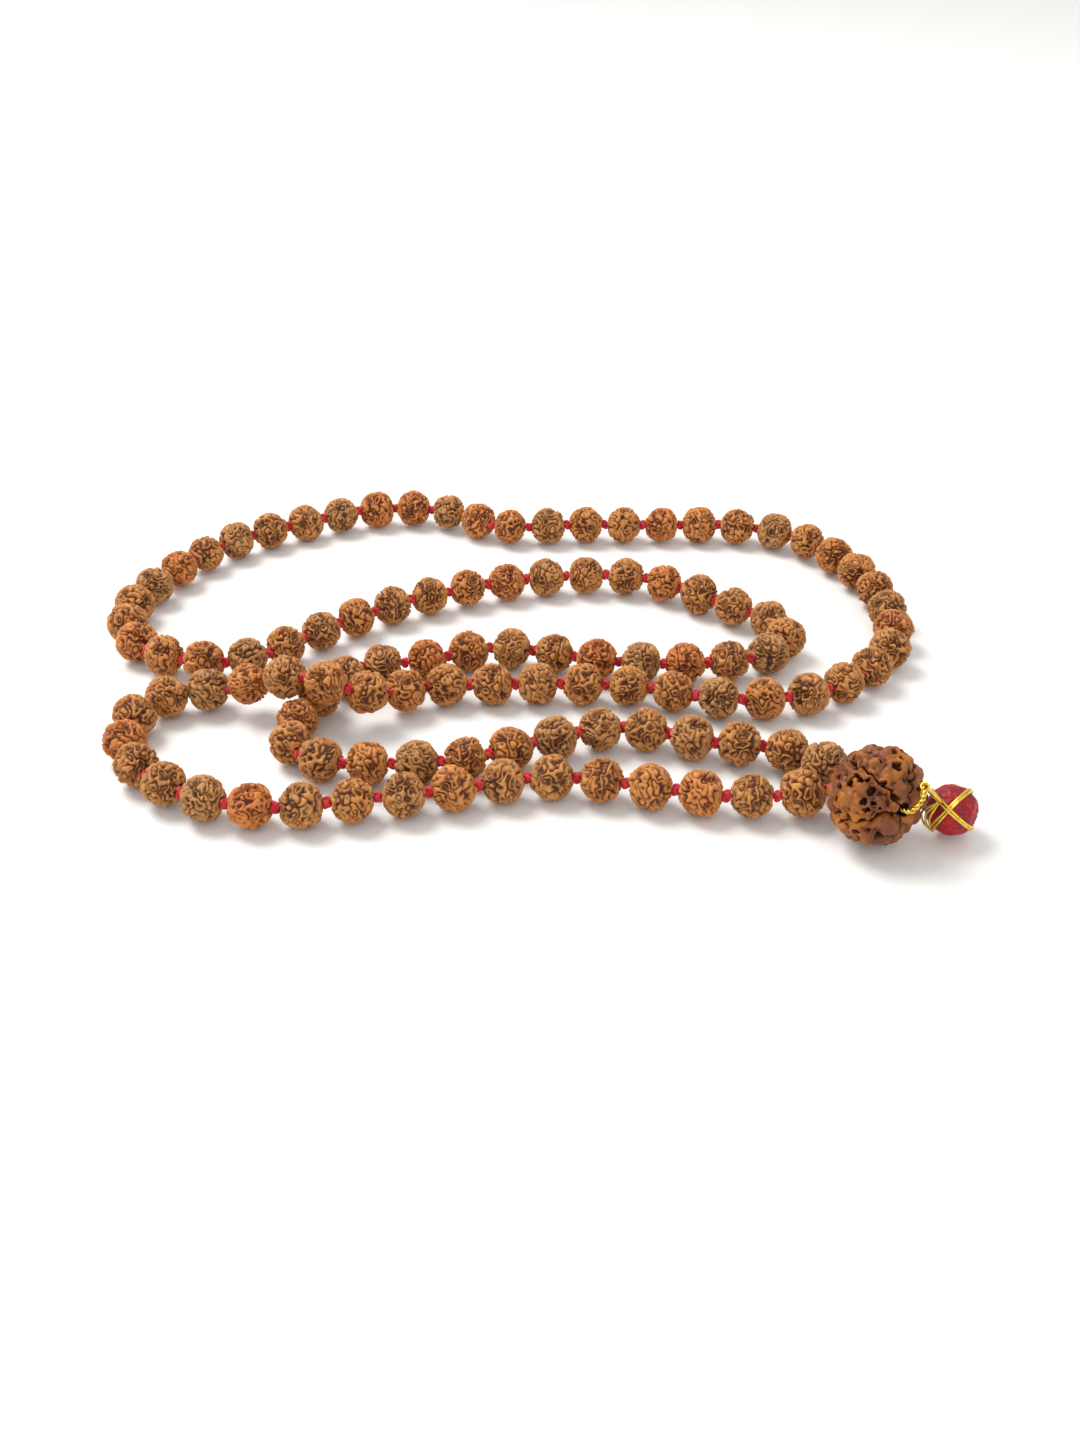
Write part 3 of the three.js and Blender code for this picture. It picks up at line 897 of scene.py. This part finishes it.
# Neck. The wire's ends are wound three times round the stem's top and tucked in, with one slack
# loop left standing.
coil_side = to_red.orthogonal().normalized()
coil_across = to_red.cross(coil_side)
coil = []
for step in range(66):
    turn = 2 * math.pi * step / 20
    swell = 0.00052 + 0.00016 * math.sin(turn * 0.31 + 0.4)
    coil.append(neck + to_red * (-0.00075 + 0.0000225 * step) + (coil_side * math.cos(turn)
                                                              + coil_across * math.sin(turn)) * swell)
loop = []
for step in range(25):
    turn = 2 * math.pi * step / 24
    loop.append(neck + Vector((-0.00042 * math.sin(turn) - 0.0004, 0.0002 * math.sin(2 * turn) - 0.0003,
                               -0.0008 - 0.0011 * math.cos(turn))))
neck_windings = strands_mesh("neck_windings", [coil, loop], wire_radius * 0.92, gilt)
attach(neck_windings, "neck")
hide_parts("neck_coil")

# Pendant bead. A round crimson seed stone, wrinkled, stained and half glossy, held loose inside
# the wire.
red_radius = 0.0046
bpy.ops.object.select_all(action="DESELECT")
bpy.ops.mesh.primitive_cube_add(size=2 * red_radius, location=(0, 0, 0))
red_stone = bpy.context.object
red_stone.name = "crimson_stone"
bpy.ops.object.mode_set(mode="EDIT")
bpy.ops.mesh.select_all(action="SELECT")
bpy.ops.mesh.subdivide(number_cuts=59)
bpy.ops.object.mode_set(mode="OBJECT")
spots = np.empty(len(red_stone.data.vertices) * 3)
red_stone.data.vertices.foreach_get("co", spots)
red_stone.data.vertices.foreach_set("co", red_radius * np.tan(spots / red_radius * math.pi / 4))
bpy.ops.object.mode_set(mode="EDIT")
bpy.ops.mesh.select_all(action="SELECT")
bpy.ops.transform.tosphere(value=1)
bpy.ops.object.mode_set(mode="OBJECT")
grow = red_radius / red_stone.data.vertices[0].co.length
red_stone.data.transform(Matrix.Diagonal((grow, grow, grow * 0.97, 1)))
red_swell = bpy.data.textures.new("crimson_swell", "CLOUDS")
red_swell.noise_scale = 0.0022
red_swell.noise_depth = 1
red_wrinkle = bpy.data.textures.new("crimson_wrinkle", "MUSGRAVE")
red_wrinkle.musgrave_type = "RIDGED_MULTIFRACTAL"
red_wrinkle.noise_scale = 0.0010
for texture, strength, level in ((red_swell, 0.0004, 0.6), (red_wrinkle, 0.00012, 0.5)):
    bpy.ops.object.modifier_add(type="DISPLACE")
    press = red_stone.modifiers[-1]
    press.texture = texture
    press.texture_coords = "LOCAL"
    press.strength = strength
    press.mid_level = level
    bpy.ops.object.modifier_apply(modifier=press.name)
bpy.ops.object.shade_smooth()
red_stone.data.transform(Matrix.Translation(red_centre))

crimson = bpy.data.materials.new("crimson_stain")
crimson.use_nodes = True
nodes, links = crimson.node_tree.nodes, crimson.node_tree.links
shader = nodes["Principled BSDF"]
shader.inputs["Coat Weight"].default_value = 0.1
shader.inputs["Specular IOR Level"].default_value = 0.3
shader.inputs["Coat Roughness"].default_value = 0.2
place = nodes.new("ShaderNodeTexCoord")
stain = nodes.new("ShaderNodeTexNoise")
stain.inputs["Scale"].default_value = 500
stain.inputs["Detail"].default_value = 4
links.new(place.outputs["Object"], stain.inputs["Vector"])
red_ramp = nodes.new("ShaderNodeValToRGB")
red_ramp.color_ramp.elements[0].position = 0.32
red_ramp.color_ramp.elements[0].color = (0.16, 0.0015, 0.005, 1)
red_ramp.color_ramp.elements[1].position = 0.66
red_ramp.color_ramp.elements[1].color = (0.44, 0.004, 0.012, 1)
links.new(stain.outputs["Fac"], red_ramp.inputs["Fac"])
flecks = nodes.new("ShaderNodeTexNoise")
flecks.inputs["Scale"].default_value = 2100
flecks.inputs["Detail"].default_value = 2
links.new(place.outputs["Object"], flecks.inputs["Vector"])
pale = nodes.new("ShaderNodeMapRange")
pale.inputs["From Min"].default_value = 0.66
pale.inputs["From Max"].default_value = 0.74
pale.inputs["To Max"].default_value = 0.5
links.new(flecks.outputs["Fac"], pale.inputs["Value"])
speckle = nodes.new("ShaderNodeMix")
speckle.data_type = "RGBA"
speckle.inputs[7].default_value = (0.80, 0.30, 0.30, 1)
links.new(pale.outputs["Result"], speckle.inputs["Factor"])
links.new(red_ramp.outputs["Color"], speckle.inputs[6])
links.new(speckle.outputs[2], shader.inputs["Base Color"])
rough = nodes.new("ShaderNodeMapRange")
rough.inputs["To Min"].default_value = 0.36
rough.inputs["To Max"].default_value = 0.62
links.new(stain.outputs["Fac"], rough.inputs["Value"])
links.new(rough.outputs["Result"], shader.inputs["Roughness"])
bump = nodes.new("ShaderNodeBump")
bump.inputs["Strength"].default_value = 0.4
bump.inputs["Distance"].default_value = 0.0002
links.new(flecks.outputs["Fac"], bump.inputs["Height"])
links.new(bump.outputs["Normal"], shader.inputs["Normal"])
red_stone.data.materials.append(crimson)
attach(red_stone, "pendant")
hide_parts("red_bead")

# Wire cage. The doubled wire passes twice round the pendant bead, crossing itself in front and
# behind, and three single turns fan over the side next to the neck.
cage_radius = 0.0049
crossing = Vector((-0.37, -0.77, 0.55)).normalized()
first_normal = crossing.cross(Vector((-0.74, 0.36, 0.57))).normalized()
second_normal = first_normal.cross(crossing).normalized()
cage_dice = random.Random(3)


def hoop(normal, shift):
    """A closed turn of wire round the pendant bead, shifted along its normal."""
    ahead = normal.orthogonal().normalized()
    across = normal.cross(ahead)
    sway = cage_dice.uniform(0, 6.28)
    line = []
    for step in range(72):
        turn = 2 * math.pi * step / 72
        lean = shift + 0.00006 * math.sin(2 * turn + sway)
        reach = math.sqrt(cage_radius ** 2 - lean ** 2)
        line.append(red_centre + normal * lean + (ahead * math.cos(turn) + across * math.sin(turn)) * reach)
    return line


hoops = [hoop(first_normal, 0.00025), hoop(first_normal, -0.00025),
         hoop(second_normal, 0.00025), hoop(second_normal, -0.00025)]
wire_hoops = strands_mesh("cage_hoops", hoops, wire_radius, gilt, closed=True)
top = -(to_red - first_normal * to_red.dot(first_normal)).normalized()
fans = []
for lean in (0.15, 0.5, 0.9):
    heel = Vector((-0.62 - 0.1 * lean, -0.42 + 0.25 * lean, -0.62)).normalized()
    belly = (top + heel).normalized() + Vector((-0.5, 0.1, 0.15)) * lean
    arc = smooth_line([top, (top + belly).normalized(), belly.normalized(), (belly + heel).normalized(), heel], 8)
    bulge = [math.sin(math.pi * i / (len(arc) - 1)) * 0.0009 * lean for i in range(len(arc))]
    fans.append([red_centre + spot.normalized() * (cage_radius + 0.0002 + stand) for spot, stand in zip(arc, bulge)])
stalk = [neck + to_red * 0.0003, red_centre + top * cage_radius]
wire_fans = strands_mesh("cage_fans", fans + twist(stalk, 2, wire_radius, 0.00024, 0.0018), wire_radius * 0.9, gilt)
bpy.ops.object.select_all(action="DESELECT")
wire_fans.select_set(True)
wire_hoops.select_set(True)
bpy.context.view_layer.objects.active = wire_hoops
bpy.ops.object.join()
wire_hoops.name = "wire_cage_turns"
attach(wire_hoops, "pendant")
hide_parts("wire_cage")

# Table and light. A plain white table top, one broad soft light high on the left and behind, and
# an even pale surround.
bpy.ops.object.select_all(action="DESELECT")
bpy.ops.mesh.primitive_plane_add(size=8, location=(0, 0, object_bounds()[0].z - 0.00005))
table_top = bpy.context.object
table_top.name = "table_top"
white = bpy.data.materials.new("white_table")
white.use_nodes = True
white.node_tree.nodes["Principled BSDF"].inputs["Base Color"].default_value = (0.865, 0.86, 0.84, 1)
white.node_tree.nodes["Principled BSDF"].inputs["Roughness"].default_value = 0.55
table_top.data.materials.append(white)

bpy.ops.object.light_add(type="AREA", location=(-0.5, 0.35, 0.9))
soft_light = bpy.context.object
soft_light.name = "soft_light"
soft_light.data.size = 0.55
soft_light.data.energy = 10.4
soft_light.rotation_euler = (Vector((0, 0, 0)) - soft_light.location).to_track_quat("-Z", "Y").to_euler()
bpy.ops.object.light_add(type="AREA", location=(0.25, -0.9, 0.7))
fill_light = bpy.context.object
fill_light.name = "fill_light"
fill_light.data.size = 0.9
fill_light.data.energy = 2
fill_light.rotation_euler = (Vector((0, 0, 0)) - fill_light.location).to_track_quat("-Z", "Y").to_euler()
surround = bpy.data.worlds.new("pale_surround")
surround.use_nodes = True
surround.node_tree.nodes["Background"].inputs["Color"].default_value = (1, 1, 1, 1)
surround.node_tree.nodes["Background"].inputs["Strength"].default_value = 0.82
bpy.context.scene.world = surround

bpy.ops.object.select_all(action="DESELECT")
